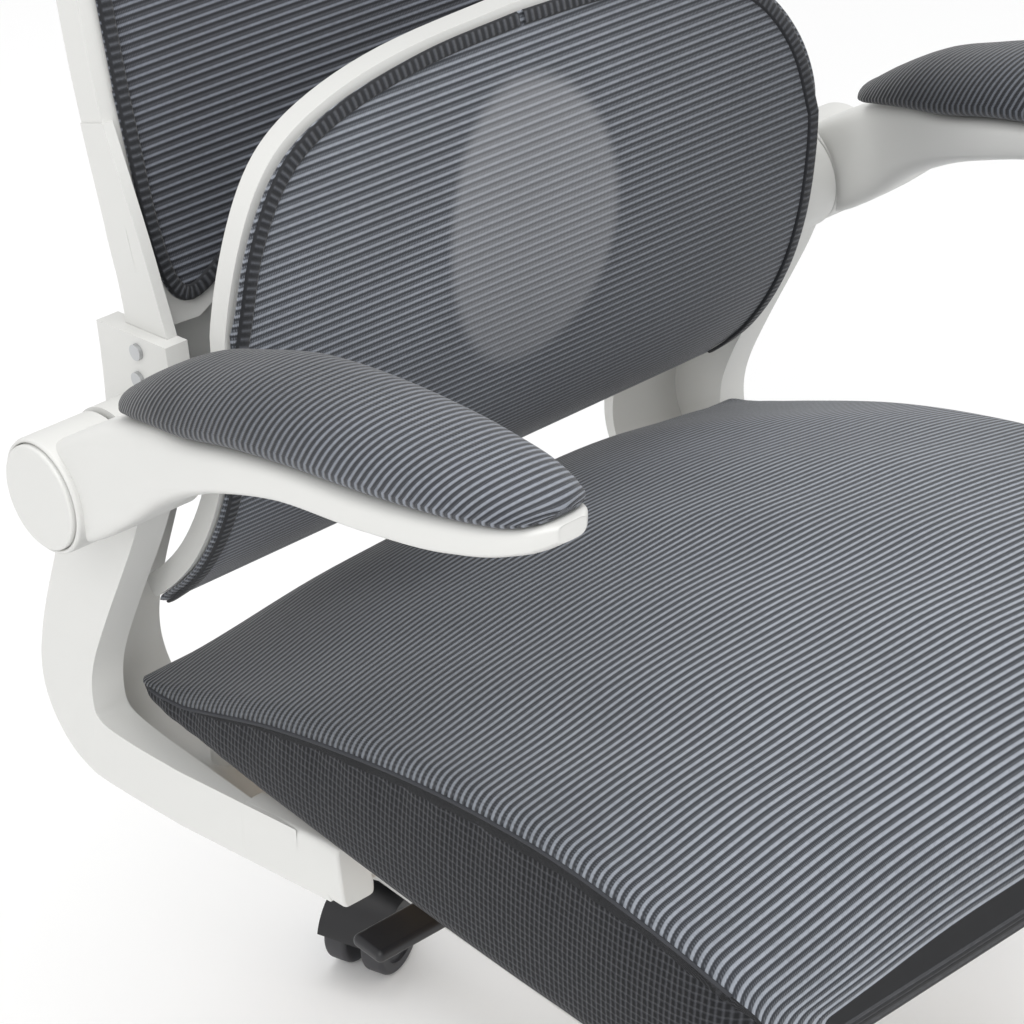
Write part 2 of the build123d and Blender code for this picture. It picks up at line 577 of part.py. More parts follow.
HH = 62.0
hf_outer, hf_inner = [], []
for i in range(40):
    t = 2 * math.pi * i / 40
    c, s_ = math.cos(t), math.sin(t)
    q = 0.55
    hf_outer.append((138 * math.copysign(abs(c) ** q, c), HH * math.copysign(abs(s_) ** q, s_)))
    hf_inner.append((124 * math.copysign(abs(c) ** q, c), (HH - 13) * math.copysign(abs(s_) ** q, s_)))


def head_face(pts, dy):
    v = [on_back(x, HEAD_Yb + dy, HEAD_S + s) for x, s in pts]
    return Face(Wire([Edge.make_spline(v, periodic=True)]))


head = Solid.extrude(head_face(hf_outer, -24), FWD * 13) - Solid.extrude(head_face(hf_inner, -24), FWD * 13)
head = head + back_block(-30, 30, HEAD_Yb - 37, HEAD_Yb - 26, HEAD_S - 55, HEAD_S + 55)
for s in (1, -1):
    lo, hi = sorted((s * 21, s * 29))
    head += back_block(lo, hi, HEAD_Yb - 30, HEAD_Yb + 7, HEAD_S - 8, HEAD_S + 8)
head = head - rod_x(4.0 + RUN, -40, 40, head_c.Y, head_c.Z)
head = max(head.solids(), key=lambda s: s.volume)
save("headrest_frame", head)
hm = Solid.extrude(head_face([(x * 0.975, s * 0.955) for x, s in hf_outer], -37.2), FWD * 3.0)
save("headrest_mesh", hm)
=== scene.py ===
import bpy
import bmesh
import json
import math
import numpy as np
from mathutils import Vector, Matrix


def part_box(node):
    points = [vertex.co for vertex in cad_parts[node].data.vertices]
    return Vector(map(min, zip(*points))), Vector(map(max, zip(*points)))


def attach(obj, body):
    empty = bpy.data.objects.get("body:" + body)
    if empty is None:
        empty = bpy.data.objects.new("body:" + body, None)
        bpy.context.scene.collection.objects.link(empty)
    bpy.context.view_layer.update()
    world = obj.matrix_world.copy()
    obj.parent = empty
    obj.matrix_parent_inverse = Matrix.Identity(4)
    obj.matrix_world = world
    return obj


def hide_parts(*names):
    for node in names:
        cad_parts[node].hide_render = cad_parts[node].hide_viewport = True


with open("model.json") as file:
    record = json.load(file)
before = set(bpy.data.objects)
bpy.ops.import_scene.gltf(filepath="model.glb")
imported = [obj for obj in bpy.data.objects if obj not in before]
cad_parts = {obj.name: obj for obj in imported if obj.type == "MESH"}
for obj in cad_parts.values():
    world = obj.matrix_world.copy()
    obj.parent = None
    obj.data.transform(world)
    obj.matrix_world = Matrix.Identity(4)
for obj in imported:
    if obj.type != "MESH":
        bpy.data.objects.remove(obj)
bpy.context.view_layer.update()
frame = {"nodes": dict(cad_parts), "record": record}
nodes = frame["nodes"]

# All lengths in this file are metres unless a name ends in _mm.
LEAN = math.radians(16.4)
UP = np.array([0.0, math.sin(LEAN), math.cos(LEAN)])
FWD = np.array([0.0, -math.cos(LEAN), math.sin(LEAN)])
BACK_O = np.array([0.0, 0.224, 0.591])
ARM_MID = 0.275
RIB = 0.0047                      # pitch of the ribs in the cloth


# ------------------------------------------------------------------ curves
def smooth(pts, n):
    """Points evenly spread along a Catmull-Rom curve through pts."""
    p = np.array(pts, float)
    q = np.vstack([2 * p[0] - p[1], p, 2 * p[-1] - p[-2]])
    out = []
    for i in range(1, len(q) - 2):
        a, b, c, d = q[i - 1], q[i], q[i + 1], q[i + 2]
        for t in np.linspace(0, 1, 24, endpoint=False):
            out.append(0.5 * ((2 * b) + (c - a) * t + (2 * a - 5 * b + 4 * c - d) * t * t
                              + (3 * b - a - 3 * c + d) * t ** 3))
    out.append(q[-2])
    out = np.array(out)
    s = np.r_[0, np.cumsum(np.linalg.norm(np.diff(out, axis=0), axis=1))]
    u = np.linspace(0, s[-1], n)
    return np.stack([np.interp(u, s, out[:, k]) for k in range(out.shape[1])], 1)


def table_fn(rows):
    """Smooth look-up of columns 1.. by column 0 (which must increase)."""
    r = np.array(sorted(rows), float)
    x = r[:, 0]
    m = np.gradient(r[:, 1:], x, axis=0)

    def f(v):
        v = float(np.clip(v, x[0], x[-1]))
        i = int(np.clip(np.searchsorted(x, v) - 1, 0, len(x) - 2))
        h = x[i + 1] - x[i]
        t = (v - x[i]) / h
        return ((2 * t ** 3 - 3 * t ** 2 + 1) * r[i, 1:] + (t ** 3 - 2 * t ** 2 + t) * h * m[i]
                + (-2 * t ** 3 + 3 * t ** 2) * r[i + 1, 1:] + (t ** 3 - t ** 2) * h * m[i + 1])
    return f


def grid(name, P, uv=None, closed=False, mat_of=None, caps=False):
    """A mesh from a rows x columns x 3 array of points, with a UV in metres."""
    n, m, _ = P.shape
    verts = [tuple(map(float, P[i, j])) for i in range(n) for j in range(m)]
    faces, mats = [], []
    cols = m if closed else m - 1
    for i in range(n - 1):
        for j in range(cols):
            k = (j + 1) % m
            faces.append((i * m + j, i * m + k, (i + 1) * m + k, (i + 1) * m + j))
            mats.append(mat_of(i, j) if mat_of else 0)
    me = bpy.data.meshes.new(name)
    capf = []
    if caps:
        capf = [tuple(range(m - 1, -1, -1)), tuple((n - 1) * m + j for j in range(m))]
    me.from_pydata(verts, [], faces + capf)
    if uv is not None:
        lay = me.uv_layers.new(name="UVMap")
        li = 0
        for i in range(n - 1):
            for j in range(cols):
                for (a, b) in ((i, j), (i, j + 1), (i + 1, j + 1), (i + 1, j)):
                    bb = b if b < uv.shape[1] else 0
                    lay.data[li].uv = (float(uv[a, bb, 0]), float(uv[a, bb, 1]))
                    li += 1
    for p, k in zip(me.polygons, mats + [0] * len(capf)):
        p.use_smooth = True
        p.material_index = k
    me.update()
    ob = bpy.data.objects.new(name, me)
    bpy.context.scene.collection.objects.link(ob)
    return ob


def arc(P, axis):
    d = np.linalg.norm(np.diff(P, axis=axis), axis=2)
    z = np.zeros_like(np.take(d, [0], axis=axis))
    return np.concatenate([z, np.cumsum(d, axis=axis)], axis=axis)


# ------------------------------------------------------------------ materials
def new_mat(name):
    m = bpy.data.materials.new(name)
    m.use_nodes = True
    nt = m.node_tree
    for n in list(nt.nodes):
        nt.nodes.remove(n)
    out = nt.nodes.new("ShaderNodeOutputMaterial")
    b = nt.nodes.new("ShaderNodeBsdfPrincipled")
    nt.links.new(b.outputs[0], out.inputs[0])
    return m, nt, b


def N(nt, kind, **kw):
    n = nt.nodes.new(kind)
    for k, v in kw.items():
        if k.startswith("i_"):
            key = k[2:]
            n.inputs[int(key) if key.isdigit() else key].default_value = v
        else:
            setattr(n, k, v)
    return n


def math_n(nt, op, a, b=None, c=None):
    n = nt.nodes.new("ShaderNodeMath")
    n.operation = op
    for i, v in enumerate((a, b, c)):
        if v is None:
            continue
        if isinstance(v, (int, float)):
            n.inputs[i].default_value = v
        else:
            nt.links.new(v, n.inputs[i])
    return n.outputs[0]


def mix_col(nt, fac, a, b):
    n = nt.nodes.new("ShaderNodeMix")
    n.data_type = "RGBA"
    if isinstance(fac, (int, float)):
        n.inputs[0].default_value = fac
    else:
        nt.links.new(fac, n.inputs[0])
    for i, v in ((6, a), (7, b)):
        if isinstance(v, tuple):
            n.inputs[i].default_value = (*v, 1.0)
        else:
            nt.links.new(v, n.inputs[i])
    return n.outputs[2]


def bump(nt, b, height, strength, dist, normal=None):
    n = nt.nodes.new("ShaderNodeBump")
    n.inputs["Strength"].default_value = strength
    n.inputs["Distance"].default_value = dist
    nt.links.new(height, n.inputs["Height"])
    if normal is not None:
        nt.links.new(normal, n.inputs["Normal"])
    if b is not None:
        nt.links.new(n.outputs[0], b.inputs["Normal"])
    return n.outputs[0]


def ribbed(name, dark, light, pitch=RIB, line=0.42, cross=0.0011, depth=0.0006, rough=0.72,
           sheen=0.25, glow=None, vary=0.16, crosslight=0.25, shade=None):
    """Ribbed knit: light raised threads across a darker ground.  V of the UV runs
    across the ribs and U along them, both in metres."""
    m, nt, b = new_mat(name)
    uv = N(nt, "ShaderNodeUVMap", uv_map="UVMap")
    sep = N(nt, "ShaderNodeSeparateXYZ")
    nt.links.new(uv.outputs[0], sep.inputs[0])
    u, v = sep.outputs[0], sep.outputs[1]
    noi = N(nt, "ShaderNodeTexNoise", i_Scale=900.0, i_Detail=3.0)
    tc = N(nt, "ShaderNodeTexCoord")
    nt.links.new(tc.outputs["Object"], noi.inputs["Vector"])
    wob = math_n(nt, "MULTIPLY", math_n(nt, "SUBTRACT", noi.outputs["Fac"], 0.5), 0.35)
    ph = math_n(nt, "ADD", math_n(nt, "MULTIPLY", v, 2 * math.pi / pitch), wob)
    s = math_n(nt, "MULTIPLY_ADD", math_n(nt, "SINE", ph), 0.5, 0.5)
    rib = N(nt, "ShaderNodeMapRange", interpolation_type="SMOOTHSTEP")
    rib.inputs["From Min"].default_value = 1 - line - 0.22
    rib.inputs["From Max"].default_value = 1 - line + 0.30
    nt.links.new(s, rib.inputs["Value"])
    ribf = rib.outputs[0]
    # the threads that cross the ribs
    cr = math_n(nt, "MULTIPLY_ADD", math_n(nt, "SINE", math_n(nt, "MULTIPLY", u, 2 * math.pi / cross)), 0.5, 0.5)
    s2 = math_n(nt, "MULTIPLY_ADD", math_n(nt, "SINE", math_n(nt, "MULTIPLY", v, 4 * math.pi / pitch)), 0.5, 0.5)
    fine = math_n(nt, "MULTIPLY", cr, s2)
    big = N(nt, "ShaderNodeTexNoise", i_Scale=14.0, i_Detail=4.0)
    nt.links.new(tc.outputs["Object"], big.inputs["Vector"])
    mot = N(nt, "ShaderNodeTexNoise", i_Scale=420.0, i_Detail=2.0)
    nt.links.new(tc.outputs["Object"], mot.inputs["Vector"])
    f = math_n(nt, "ADD", math_n(nt, "MULTIPLY", ribf, 1.0 - crosslight * 0.5),
               math_n(nt, "MULTIPLY", fine, crosslight))
    f = math_n(nt, "MULTIPLY", f, math_n(nt, "MULTIPLY_ADD", mot.outputs["Fac"], 0.7, 0.65))
    f = math_n(nt, "MINIMUM", f, 1.0)
    base = mix_col(nt, f, dark, light)
    tone = math_n(nt, "MULTIPLY_ADD", big.outputs["Fac"], vary * 2, 1 - vary)
    # painted shade: the optional ramp darkens parts of the cloth by position
    if shade is not None:
        tone = math_n(nt, "MULTIPLY", tone, shade(nt, tc))
    mul = nt.nodes.new("ShaderNodeMix")
    mul.data_type = "RGBA"
    mul.blend_type = "MULTIPLY"
    mul.inputs[0].default_value = 1.0
    nt.links.new(base, mul.inputs[6])
    comb = N(nt, "ShaderNodeCombineColor")
    for i in range(3):
        nt.links.new(tone, comb.inputs[i])
    nt.links.new(comb.outputs[0], mul.inputs[7])
    col = mul.outputs[2]
    if glow is not None:
        fac, tint, amount = glow(nt, tc)
        col = mix_col(nt, math_n(nt, "MULTIPLY", fac, amount), col, tint)
    nt.links.new(col, b.inputs["Base Color"])
    hgt = math_n(nt, "ADD", math_n(nt, "MULTIPLY", s, 0.8), math_n(nt, "MULTIPLY", fine, 0.35))
    hgt = math_n(nt, "ADD", hgt, math_n(nt, "MULTIPLY", mot.outputs["Fac"], 0.25))
    bump(nt, b, hgt, 0.9, depth)
    b.inputs["Roughness"].default_value = rough
    b.inputs["Sheen Weight"].default_value = sheen
    b.inputs["Sheen Roughness"].default_value = 0.45
    b.inputs["Specular IOR Level"].default_value = 0.3
    return m


def painted_shade_ramp(x0, x1, y0, y1, lo, hi):
    """Painted shade: a tone that rises from lo to hi between two points in plan."""
    def f(nt, tc):
        sp = N(nt, "ShaderNodeSeparateXYZ")
        nt.links.new(tc.outputs["Object"], sp.inputs[0])
        L2 = (x1 - x0) ** 2 + (y1 - y0) ** 2
        a = math_n(nt, "MULTIPLY", math_n(nt, "SUBTRACT", sp.outputs[0], x0), (x1 - x0) / L2)
        b = math_n(nt, "MULTIPLY", math_n(nt, "SUBTRACT", sp.outputs[1], y0), (y1 - y0) / L2)
        mr = N(nt, "ShaderNodeMapRange", interpolation_type="SMOOTHSTEP")
        mr.inputs["To Min"].default_value = lo
        mr.inputs["To Max"].default_value = hi
        nt.links.new(math_n(nt, "ADD", a, b), mr.inputs["Value"])
        return mr.outputs[0]
    return f


def woven(name, dark, light, pu=0.0034, pv=0.0044):
    """Open woven grid of the seat's boxing: upright ribs with finer cross threads."""
    m, nt, b = new_mat(name)
    uv = N(nt, "ShaderNodeUVMap", uv_map="UVMap")
    sep = N(nt, "ShaderNodeSeparateXYZ")
    nt.links.new(uv.outputs[0], sep.inputs[0])
    tc = N(nt, "ShaderNodeTexCoord")
    noi = N(nt, "ShaderNodeTexNoise", i_Scale=260.0, i_Detail=2.0)
    nt.links.new(tc.outputs["Object"], noi.inputs["Vector"])
    w = math_n(nt, "MULTIPLY", math_n(nt, "SUBTRACT", noi.outputs["Fac"], 0.5), 1.6)
    su = math_n(nt, "MULTIPLY_ADD", math_n(nt, "SINE", math_n(
        nt, "ADD", math_n(nt, "MULTIPLY", sep.outputs[0], 2 * math.pi / pu), w)), 0.5, 0.5)
    sv = math_n(nt, "MULTIPLY_ADD", math_n(nt, "SINE", math_n(
        nt, "ADD", math_n(nt, "MULTIPLY", sep.outputs[1], 2 * math.pi / pv), w)), 0.5, 0.5)
    a = math_n(nt, "POWER", su, 2.5)
    c = math_n(nt, "POWER", sv, 5.0)
    f = math_n(nt, "MINIMUM", math_n(nt, "ADD", math_n(nt, "MULTIPLY", a, 0.75), math_n(nt, "MULTIPLY", c, 0.45)), 1.0)
    mot = N(nt, "ShaderNodeTexNoise", i_Scale=500.0, i_Detail=2.0)
    nt.links.new(tc.outputs["Object"], mot.inputs["Vector"])
    f = math_n(nt, "MULTIPLY", f, math_n(nt, "MULTIPLY_ADD", mot.outputs["Fac"], 0.9, 0.5))
    nt.links.new(mix_col(nt, f, dark, light), b.inputs["Base Color"])
    bump(nt, b, math_n(nt, "ADD", a, c), 0.8, 0.0005)
    b.inputs["Roughness"].default_value = 0.85
    b.inputs["Sheen Weight"].default_value = 0.06
    b.inputs["Sheen Roughness"].default_value = 0.5
    b.inputs["Specular IOR Level"].default_value = 0.25
    return m


def ladder(name):
    """Dark edging tape with a ladder of stitches across it.  U runs along it."""
    m, nt, b = new_mat(name)
    uv = N(nt, "ShaderNodeUVMap", uv_map="UVMap")
    sep = N(nt, "ShaderNodeSeparateXYZ")
    nt.links.new(uv.outputs[0], sep.inputs[0])
    s = math_n(nt, "MULTIPLY_ADD", math_n(nt, "SINE", math_n(nt, "MULTIPLY", sep.outputs[0], 2 * math.pi / 0.0046)), 0.5, 0.5)
    # stitches stop short of both edges of the tape (V runs 0..1 across it)
    v = sep.outputs[1]
    edge = math_n(nt, "MULTIPLY", math_n(nt, "SUBTRACT", v, 0.5), 2.0)
    edge = math_n(nt, "ABSOLUTE", edge)
    inside = N(nt, "ShaderNodeMapRange", interpolation_type="SMOOTHSTEP")
    inside.inputs["From Min"].default_value = 0.86
    inside.inputs["From Max"].default_value = 0.62
    nt.links.new(edge, inside.inputs["Value"])
    st = math_n(nt, "MULTIPLY", math_n(nt, "POWER", s, 2.0), inside.outputs[0])
    tc = N(nt, "ShaderNodeTexCoord")
    mot = N(nt, "ShaderNodeTexNoise", i_Scale=700.0, i_Detail=3.0)
    nt.links.new(tc.outputs["Object"], mot.inputs["Vector"])
    f = math_n(nt, "MULTIPLY", st, math_n(nt, "MULTIPLY_ADD", mot.outputs["Fac"], 0.8, 0.5))
    nt.links.new(mix_col(nt, f, (0.014, 0.015, 0.018), (0.075, 0.080, 0.092)), b.inputs["Base Color"])
    bump(nt, b, math_n(nt, "ADD", st, math_n(nt, "MULTIPLY", mot.outputs["Fac"], 0.3)), 1.0, 0.0008)
    b.inputs["Roughness"].default_value = 0.7
    b.inputs["Sheen Weight"].default_value = 0.15
    b.inputs["Specular IOR Level"].default_value = 0.3
    return m


def moulded(name, col, rough=0.42, grain=0.00008, spec=0.45, wear=0.06, scale=900.0):
    """Moulded plastic with a fine satin grain, faint flow tone and rubbed edges."""
    m, nt, b = new_mat(name)
    tc = N(nt, "ShaderNodeTexCoord")
    n1 = N(nt, "ShaderNodeTexNoise", i_Scale=scale, i_Detail=3.0)
    n2 = N(nt, "ShaderNodeTexNoise", i_Scale=9.0, i_Detail=5.0)
    n3 = N(nt, "ShaderNodeTexNoise", i_Scale=60.0, i_Detail=4.0)
    for n in (n1, n2, n3):
        nt.links.new(tc.outputs["Object"], n.inputs["Vector"])
    geo = N(nt, "ShaderNodeNewGeometry")
    edge = N(nt, "ShaderNodeMapRange")
    edge.inputs["From Min"].default_value = 0.51
    edge.inputs["From Max"].default_value = 0.62
    nt.links.new(geo.outputs["Pointiness"], edge.inputs["Value"])
    tone = math_n(nt, "MULTIPLY_ADD", n2.outputs["Fac"], 0.10, 0.0)
    dark = tuple(c * 0.88 for c in col)
    base = mix_col(nt, tone, col, dark)
    rub = math_n(nt, "MULTIPLY", edge.outputs[0], wear)
    lite = tuple(min(1.0, c * 1.12 + 0.02) for c in col)
    nt.links.new(mix_col(nt, rub, base, lite), b.inputs["Base Color"])
    r = math_n(nt, "MULTIPLY_ADD", n3.outputs["Fac"], 0.14, rough - 0.07)
    nt.links.new(r, b.inputs["Roughness"])
    bump(nt, b, n1.outputs["Fac"], 0.35, grain)
    b.inputs["Specular IOR Level"].default_value = spec
    return m


def metal(name, col, rough=0.32, scale=(400.0, 400.0, 30.0)):
    """Machined or drawn metal with fine lines and slight tarnish."""
    m, nt, b = new_mat(name)
    tc = N(nt, "ShaderNodeTexCoord")
    mp = N(nt, "ShaderNodeMapping")
    mp.inputs["Scale"].default_value = scale
    nt.links.new(tc.outputs["Object"], mp.inputs["Vector"])
    n1 = N(nt, "ShaderNodeTexNoise", i_Scale=3.0, i_Detail=4.0)
    nt.links.new(mp.outputs[0], n1.inputs["Vector"])
    n2 = N(nt, "ShaderNodeTexNoise", i_Scale=30.0, i_Detail=4.0)
    nt.links.new(tc.outputs["Object"], n2.inputs["Vector"])
    nt.links.new(mix_col(nt, n2.outputs["Fac"], col, tuple(c * 0.8 for c in col)), b.inputs["Base Color"])
    nt.links.new(math_n(nt, "MULTIPLY_ADD", n1.outputs["Fac"], 0.16, rough - 0.08), b.inputs["Roughness"])
    bump(nt, b, n1.outputs["Fac"], 0.3, 0.00005)
    b.inputs["Metallic"].default_value = 1.0
    return m


def ply(name):
    m, nt, b = new_mat(name)
    tc = N(nt, "ShaderNodeTexCoord")
    mp = N(nt, "ShaderNodeMapping")
    mp.inputs["Scale"].default_value = (3.0, 40.0, 700.0)
    nt.links.new(tc.outputs["Object"], mp.inputs["Vector"])
    n = N(nt, "ShaderNodeTexNoise", i_Scale=2.0, i_Detail=6.0)
    nt.links.new(mp.outputs[0], n.inputs["Vector"])
    nt.links.new(mix_col(nt, n.outputs["Fac"], (0.36, 0.24, 0.13), (0.62, 0.47, 0.29)), b.inputs["Base Color"])
    bump(nt, b, n.outputs["Fac"], 0.4, 0.0002)
    b.inputs["Roughness"].default_value = 0.65
    return m


def oval_glow(cx, cz, rx, rz, tint, amount, soft=0.16):
    """Cloth looks lighter where the pale pad stands close behind it."""
    def f(nt, tc):
        sp = N(nt, "ShaderNodeSeparateXYZ")
        nt.links.new(tc.outputs["Object"], sp.inputs[0])
        dx = math_n(nt, "DIVIDE", math_n(nt, "SUBTRACT", sp.outputs[0], cx), rx)
        dz = math_n(nt, "DIVIDE", math_n(nt, "SUBTRACT", sp.outputs[2], cz), rz)
        d = math_n(nt, "SQRT", math_n(nt, "ADD", math_n(nt, "MULTIPLY", dx, dx), math_n(nt, "MULTIPLY", dz, dz)))
        mr = N(nt, "ShaderNodeMapRange", interpolation_type="SMOOTHSTEP")
        mr.inputs["From Min"].default_value = 1.0 + soft * 0.5
        mr.inputs["From Max"].default_value = 1.0 - soft * 0.5
        nt.links.new(d, mr.inputs["Value"])
        return mr.outputs[0], tint, amount
    return f


WHITE = (0.665, 0.665, 0.645)
M_white = moulded("satin_white_nylon", WHITE, rough=0.40)
M_white_soft = moulded("satin_white_nylon_back", (0.78, 0.78, 0.755), rough=0.46)
M_black = moulded("satin_black_nylon", (0.016, 0.016, 0.018), rough=0.45, wear=0.3)
M_blackm = moulded("black_powder_coat", (0.02, 0.02, 0.022), rough=0.5, grain=0.00018, scale=1400.0, wear=0.25)
M_tread = moulded("caster_nylon", (0.045, 0.045, 0.05), rough=0.55, wear=0.2)
M_steel = metal("zinc_steel", (0.56, 0.57, 0.58))
M_ply = ply("birch_ply")
# painted shade: the seat top knit darkens towards the rear and the -X side
M_seat = ribbed("seat_top_knit", (0.026, 0.029, 0.036), (0.315, 0.34, 0.385), line=0.38,
                shade=painted_shade_ramp(-0.25, 0.05, 0.24, -0.06, 0.30, 1.0))
M_side = woven("seat_side_weave", (0.007, 0.0075, 0.009), (0.058, 0.060, 0.068))
# painted shade: the arm pad knit is darker on the -X pad and towards the rear
M_pad = ribbed("arm_pad_knit", (0.022, 0.024, 0.030), (0.25, 0.27, 0.31), line=0.36, pitch=0.0045,
               shade=painted_shade_ramp(0.0, 0.0, 0.15, -0.17, 0.22, 1.05))
# painted shade: the lumbar knit darkens towards +X
M_lum = ribbed("lumbar_mesh_knit", (0.030, 0.033, 0.040), (0.28, 0.30, 0.34), line=0.30,
               shade=painted_shade_ramp(-0.05, 0.20, 0.15, 0.15, 1.05, 0.72), crosslight=0.5,
               glow=oval_glow(-0.008, 0.606, 0.062, 0.086, (0.36, 0.365, 0.38), 0.34))
M_back = ribbed("back_mesh_knit", (0.020, 0.021, 0.026), (0.19, 0.205, 0.24), line=0.26, crosslight=0.35)
M_trim = ladder("ladder_edging")
M_padb = moulded("pale_pad", (0.55, 0.55, 0.54), rough=0.6)

# ------------------------------------------------------------------ CAD nodes
slot_mat = {
    "white_plastic": M_white, "black_plastic": M_black, "black_metal": M_blackm, "steel": M_steel,
    "plywood": M_ply, "caster_tread": M_tread, "seat_fabric": M_side, "back_fabric": M_back,
    "pad_fabric": M_pad, "chrome": M_steel,
}
node_slot = {s["node"]: s["material_slot"] for s in frame["record"]["subparts"]}
for nm, ob in nodes.items():
    mat = slot_mat[node_slot[nm]]
    if nm == "lumbar_pad":
        mat = M_padb
    ob.data.materials.clear()
    ob.data.materials.append(mat)
    if node_slot[nm] in ("white_plastic", "black_metal", "black_plastic") and nm != "lumbar_pad":
        w = ob.modifiers.new("join_corners", "WELD")
        w.merge_threshold = 0.00002
        bv = ob.modifiers.new("moulded_edges", "BEVEL")
        bv.width = 0.0022 if node_slot[nm] == "white_plastic" else 0.0008
        bv.segments = 3
        bv.limit_method = "ANGLE"
        bv.angle_limit = math.radians(38)
        bv.use_clamp_overlap = True
        wn = ob.modifiers.new("even_shading", "WEIGHTED_NORMAL")
        wn.keep_sharp = False

# ------------------------------------------------------------------ seat cushion
seat_rows = [  # y, half width, bottom, seam, crown (mm)
    (-268, 196, 392, 402, 414), (-266, 208, 382, 408, 420), (-262, 222, 372, 414, 429),
    (-254, 233, 364, 428, 444), (-240, 242, 358, 441, 456), (-222, 247, 354.5, 450, 465),
    (-199, 250, 353.5, 456, 471), (-136, 252, 353, 461, 477), (-77, 252.5, 353, 457, 475.5),
    (25, 251, 353, 437, 463.5), (93, 249, 353, 417, 447), (156, 246, 354, 392, 426),
    (190, 243.5, 355.5, 378, 410), (208, 241.5, 358, 371, 399), (218, 240, 361, 368, 388),
    (223.5, 238.5, 363.5, 366.8, 376), (226, 236, 365, 366.2, 370)]
seat_fn = table_fn(seat_rows)


def seat_section(y):
    """Closed loop of points across the seat at y, from the bottom centre round."""
    w, zb, zs, zc = seat_fn(y)
    h = zc - zs
    n_top, n_side, n_bot = 56, 14, 14
    top = []
    ro = min(9.0, (zs - zb) * 0.3)
    for t in np.linspace(1, -1, n_top):
        a = abs(t)
        x = math.sin(a * math.pi / 2) ** 0.92
        z = zs + h * (1 - x ** 2.2)
        # the last few millimetres turn down over the shoulder
        k = max(0.0, (x - (1 - ro / w)) / (ro / w))
        z -= ro * (1 - math.sqrt(max(0.0, 1 - min(1.0, k) ** 2)))
        top.append((math.copysign(w * x, t), z))
    side_r, side_l = [], []
    r = min(14.0, (zs - zb) * 0.35)
    for t in np.linspace(0, 1, n_side + 1)[1:]:
        z = zs - ro + (zb - zs + ro) * t
        bulge = 3.0 * math.sin(math.pi * t) * min(1.0, (zs - zb) / 60.0)
        tuck = 0.0
        if z < zb + r:
            q = (zb + r - z) / r
            tuck = r * (1 - math.sqrt(max(0.0, 1 - q * q * 0.98)))
        side_r.append((-(w + bulge - tuck), z))
    side_l = [(-x, z) for x, z in side_r][::-1]
    xb = -side_r[-1][0]
    bot = [(-xb + (2 * xb) * t, zb) for t in np.linspace(0, 1, n_bot + 2)[1:-1]]
    # order: top from +x to -x, down the -x side, along the bottom, up the +x side
    loop = top + side_r + bot + side_l
    return loop, n_top, n_side, n_bot


ys = np.r_[np.linspace(-268, -230, 16), np.linspace(-226, 196, 84), np.linspace(200, 226, 14)]
loops = []
for y in ys:
    lp, nt_, ns_, nb_ = seat_section(y)
    loops.append([(x / 1000, y / 1000, z / 1000) for x, z in lp])
P = np.array(loops)
m_cols = P.shape[1]
# soft unevenness of foam under stretched cloth, and small puckers gathered along the side seam
soft = (np.sin(P[:, :, 0] * 31 + 1.3) * np.sin(P[:, :, 1] * 27 + 0.4) * 0.0009
        + np.sin(P[:, :, 0] * 58 + P[:, :, 1] * 41) * 0.0004)
wt = np.zeros(P.shape[:2])
wt[:, :nt_] = np.clip(np.sin(np.linspace(0, math.pi, nt_)) * 1.6, 0, 1)[None, :]
P[:, :, 2] += soft * wt
for j in range(nt_, m_cols):
    side_sign = np.sign(P[:, j, 0])
    depth = np.clip(P[:, nt_ - 1, 2] - P[:, j, 2], 0, 1)
    near = np.exp(-depth / 0.016)
    yy = P[:, j, 1]
    ripple = (np.sin(yy * 2 * math.pi / 0.019 + 0.8 * np.sin(yy * 40)) * 0.0006
              + np.sin(yy * 2 * math.pi / 0.062) * 0.0009)
    P[:, j, 0] += side_sign * ripple * near * (np.abs(P[:, j, 0]) > 0.15)
arc_y = arc(P, 0)
mid = np.repeat(arc_y[:, nt_ // 2: nt_ // 2 + 1], m_cols, axis=1)
U = np.zeros((len(ys), m_cols, 2))
U[:, :, 0] = P[:, :, 0]
U[:, :, 1] = 0.55 * mid + 0.45 * arc_y
for j in range(nt_, m_cols):
    U[:, j, 0] = P[:, j, 1]
    U[:, j, 1] = P[:, j, 2]


def seat_mat(i, j):
    return 0 if j < nt_ - 1 else 1


seat = grid("seat_cushion_cover", P, U, closed=True, mat_of=seat_mat, caps=True)
seat.data.materials.append(M_seat)
seat.data.materials.append(M_side)
# the two caps carry the boxing cloth
for p in seat.data.polygons[-2:]:
    p.material_index = 1
    p.use_smooth = False
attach(seat, "seat")
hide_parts("seat_cushion")


def tube_along(name, pts, r, mat, body, sides=10, uv_scale=1.0):
    """A thin round strip along a line of points (metres)."""
    pts = np.array(pts, float)
    n = len(pts)
    T = np.gradient(pts, axis=0)
    T /= np.linalg.norm(T, axis=1)[:, None]
    ref = np.array([0.31, 0.17, 0.93])
    A = np.cross(T, ref)
    A /= np.linalg.norm(A, axis=1)[:, None]
    Bv = np.cross(T, A)
    ang = np.linspace(0, 2 * math.pi, sides, endpoint=False)
    Pp = pts[:, None, :] + r * (np.cos(ang)[None, :, None] * A[:, None, :] + np.sin(ang)[None, :, None] * Bv[:, None, :])
    s = np.r_[0, np.cumsum(np.linalg.norm(np.diff(pts, axis=0), axis=1))]
    uv = np.zeros((n, sides, 2))
    uv[:, :, 0] = s[:, None]
    uv[:, :, 1] = (np.arange(sides) / sides)[None, :]
    ob = grid(name, Pp, uv, closed=True, caps=True)
    ob.data.materials.append(mat)
    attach(ob, body)
    return ob


